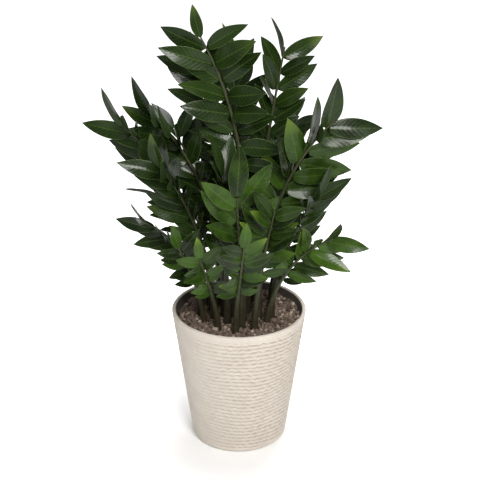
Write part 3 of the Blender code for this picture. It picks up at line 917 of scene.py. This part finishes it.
def leafLook(name, fresh):
    # waxy leaflet: tone by leaflet and by mottling, pale midrib, faint side veins, pale thin margin,
    # greyer duller underside
    look = leafletFinish
    material, tree, shader = newMaterial(
        name, Specular_IOR_Level=0.17, Coat_Weight=0.13, Coat_Roughness=0.10)
    blade = addNode(tree, "ShaderNodeAttribute", dict(attribute_name="blade"))
    parts = addNode(tree, "ShaderNodeSeparateColor", i0=blade.outputs["Color"])
    along, under = parts.outputs[0], parts.outputs[2]
    aside = calc(tree, "SUBTRACT", calc(tree, "MULTIPLY", parts.outputs[1], 2.0), 1.0)
    aside = calc(tree, "ABSOLUTE", aside)
    tone = useGroup(tree, mottle, **{"Scale": 26.0, "Grain Scale": 260.0, "Grain Share": 0.25})
    age = calc(tree, "MULTIPLY", blade.outputs["Alpha"], 0.55)
    age = calc(tree, "ADD", age, calc(tree, "MULTIPLY", tone.outputs["Tone"], 0.45))
    color = mixColor(tree, age, look["deep"], look["middle"])
    young = calc(tree, "MULTIPLY", ramp(tree, age, 0.15, 0.95), fresh, clamp=True)
    color = mixColor(tree, young, color, look["fresh"])
    tipped = ramp(tree, along, 0.55, 1.0)
    tipped = calc(tree, "MULTIPLY", tipped, ramp(tree, blade.outputs["Alpha"], 0.80, 1.0))
    color = mixColor(tree, calc(tree, "MULTIPLY", tipped, 0.25 + 0.5 * fresh), color, look["lime"])
    slant = calc(tree, "MULTIPLY", along, look["sideVeins"])
    slant = calc(tree, "SUBTRACT", slant, calc(tree, "MULTIPLY", aside, look["veinSlant"]))
    between = calc(tree, "ABSOLUTE", calc(tree, "SINE", calc(tree, "MULTIPLY", slant, math.pi)))
    side = calc(tree, "SUBTRACT", 1.0, calc(tree, "POWER", between, 0.35))
    midrib = ramp(tree, aside, 0.10, 0.02)
    margin = ramp(tree, aside, 0.93, 0.99)
    color = mixColor(tree, calc(tree, "MULTIPLY", side, 0.10), color, look["vein"])
    color = mixColor(tree, calc(tree, "MULTIPLY", midrib, 0.17), color, look["vein"])
    color = mixColor(tree, ramp(tree, under, 0.4, 1.0, 0.0, 0.62), color, look["under"])
    color = mixColor(tree, calc(tree, "MULTIPLY", margin, 0.5), color, look["vein"])
    tree.links.new(color, shader.inputs["Base Color"])
    rough = ramp(tree, tone.outputs["Tone"], 0.0, 1.0, *look["roughness"])
    rough = calc(tree, "ADD", rough, calc(tree, "MULTIPLY", under, look["underRoughness"]))
    tree.links.new(rough, shader.inputs["Roughness"])
    grain = calc(tree, "MULTIPLY", tone.outputs["Grain"], 0.55)
    height = calc(tree, "ADD", calc(tree, "MULTIPLY", side, -0.7), grain)
    bumped(tree, shader, height, look["bump"])
    return material


stalkFinish = dict(
    foot=rgb(48, 44, 30),
    middle=rgb(48, 58, 30),
    top=rgb(60, 68, 35),
    brown=rgb(64, 56, 38),
    blotch=rgb(24, 22, 18),
)


def stemLook():
    # stalk: olive and brown at the foot, green above, with dark blotches that thin out upwards
    look = stalkFinish
    material, tree, shader = newMaterial("stalkLook", Specular_IOR_Level=0.45)
    stem = addNode(tree, "ShaderNodeAttribute", dict(attribute_name="stem"))
    up = addNode(tree, "ShaderNodeSeparateColor", i0=stem.outputs["Color"]).outputs[0]
    tone = useGroup(tree, mottle, **{"Scale": 60.0, "Grain Scale": 500.0, "Grain Share": 0.3})
    color = mixColor(tree, ramp(tree, up, 0.0, 0.42), look["foot"], look["middle"])
    color = mixColor(tree, ramp(tree, up, 0.45, 0.95), color, look["top"])
    color = mixColor(tree, calc(tree, "MULTIPLY", tone.outputs["Tone"], 0.5), color, look["brown"])
    blotch = useGroup(tree, flecks, Scale=150.0, Size=0.42, Share=0.5).outputs[0]
    fading = ramp(tree, up, 0.65, 0.1, 0.0, 0.75)
    color = mixColor(tree, calc(tree, "MULTIPLY", blotch, fading), color, look["blotch"])
    tree.links.new(color, shader.inputs["Base Color"])
    tree.links.new(ramp(tree, tone.outputs["Tone"], 0.0, 1.0, 0.36, 0.55), shader.inputs["Roughness"])
    bumped(tree, shader, tone.outputs["Grain"], 0.0005)
    return material


studio = dict(
    distance=2.6,
    elevation=23.6,
    aimHeight=0.479,
    aimAside=0.0022,
    lens=89.56,
    sensorWidth=36,
    floorColor=rgb(252, 252, 252),
    floorReach=9.0,
    liftFrom=(0.12, 0.50),   # m from the pot, and how much the floor is lifted there
    floorLift=(0.10, 0.80),
    surround=0.25,
    lampAim=(0, 0, 0.45),
    key=dict(place=(0.7, -2.5, 2.2), size=1.2, watts=80, color=(1.0, 0.985, 0.965)),
    fill=dict(place=(-2.4, -1.5, 1.5), size=2.2, watts=9, color=(0.97, 0.985, 1.0)),
    above=dict(place=(0.2, 0.9, 2.9), size=1.8, watts=64, color=(1.0, 1.0, 1.0)),
)


def areaLight(name, given):
    # a round lamp turned towards the middle of the crown
    light = bpy.data.lights.new(name, "AREA")
    light.shape = "DISK"
    light.size = given["size"]
    light.energy = given["watts"]
    light.color = given["color"]
    lamp = bpy.data.objects.new(name, light)
    lamp.location = given["place"]
    lamp.rotation_euler = (Vector(studio["lampAim"]) - lamp.location).to_track_quat("-Z", "Y").to_euler()
    bpy.context.scene.collection.objects.link(lamp)


def whiteFloor():
    # a wide plane just under the pot: plain, pale and dull, and lifted to white where the camera sees it
    material, tree, shader = newMaterial("floorLook", Roughness=0.9, Specular_IOR_Level=0.1)
    shader.inputs["Base Color"].default_value = studio["floorColor"]
    shader.inputs["Emission Color"].default_value = (1, 1, 1, 1)
    seen = addNode(tree, "ShaderNodeLightPath").outputs["Is Camera Ray"]
    place = addNode(tree, "ShaderNodeTexCoord").outputs["Object"]
    away = addNode(tree, "ShaderNodeVectorMath", dict(operation="LENGTH"), i0=place).outputs["Value"]
    lift = ramp(tree, away, *studio["liftFrom"], *studio["floorLift"])
    tree.links.new(calc(tree, "MULTIPLY", seen, lift), shader.inputs["Emission Strength"])
    reach = studio["floorReach"]
    x, y = np.meshgrid(np.linspace(-reach, reach, 3), np.linspace(-reach, reach, 3))
    top = np.column_stack([x.ravel(), y.ravel(), np.zeros(9)])
    quads = np.array([(0, 1, 4, 3), (1, 2, 5, 4), (3, 4, 7, 6), (4, 5, 8, 7)])
    floor = newPiece("floor", top - np.array([0, 0, 0.0002]), quads, np.zeros((0, 3), int), material)


def surroundLight():
    # the camera sees plain white; everything else gets a dimmer even light
    world = bpy.data.worlds.new("surround")
    bpy.context.scene.world = world
    world.use_nodes = True
    tree = world.node_tree
    sky = tree.nodes["Background"]
    sky.inputs["Color"].default_value = (1, 1, 1, 1)
    seen = addNode(tree, "ShaderNodeLightPath").outputs["Is Camera Ray"]
    tree.links.new(ramp(tree, seen, 0.0, 1.0, studio["surround"], 1.1), sky.inputs["Strength"])


def studioCamera():
    # set back by distance * cos(elevation) and up by distance * sin(elevation) from the point it sees
    camera = bpy.data.objects.new("camera", bpy.data.cameras.new("camera"))
    tilt = math.radians(studio["elevation"])
    camera.data.lens = studio["lens"]
    camera.data.sensor_width = studio["sensorWidth"]
    camera.location = (studio["aimAside"], -studio["distance"] * math.cos(tilt),
                       studio["aimHeight"] + studio["distance"] * math.sin(tilt))
    camera.rotation_euler = (math.pi / 2 - tilt, 0, 0)
    bpy.context.scene.collection.objects.link(camera)
    bpy.context.scene.camera = camera


studioCamera()
for name in ("key", "fill", "above"):
    areaLight(name, studio[name])
surroundLight()
whiteFloor()
bpy.context.scene.view_settings.view_transform = "Standard"
print("studio ready")

planterSurface(castStone())
print("planter made")

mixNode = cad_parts["potting_mix"]
mixNode.data.materials.clear()
mixNode.data.materials.append(pottingMixLook())

fronds = [dict(zip(frondFields, row)) for row in frondRows]
curves, settled = settleFronds(fronds)
feet = [(*frond["foot"], float(girth(frond, curve, 0.0))) for frond, curve in zip(fronds, curves)]
print("leaflets settled:", sum(len(kept) for kept in settled))

granuleMaterial = clayGranule()
granuleFloor(granuleMaterial)
granules(granuleMaterial, feet)

stemMaterial = stemLook()
leafMaterials = {}
for number, (frond, curve, leaflets) in enumerate(zip(fronds, curves, settled), 1):
    node = f"frond_{number:02d}"
    fresh = freshFronds.get(number, usualFreshness)
    if fresh not in leafMaterials:
        leafMaterials[fresh] = leafLook(f"leafLook{round(fresh * 100):02d}", fresh)
    places = [placeOn(curve, frond, leaflet["share"]) for leaflet in leaflets]
    radii = [float(girth(frond, curve, leaflet["share"])) for leaflet in leaflets]
    stalkPiece(f"{node}_stalk", node, frond, curve, leaflets, stemMaterial)
    leafletPiece(f"{node}_leaflets", node, leaflets, places, radii, 500 + number, leafMaterials[fresh])
print("fronds made:", len(fronds))
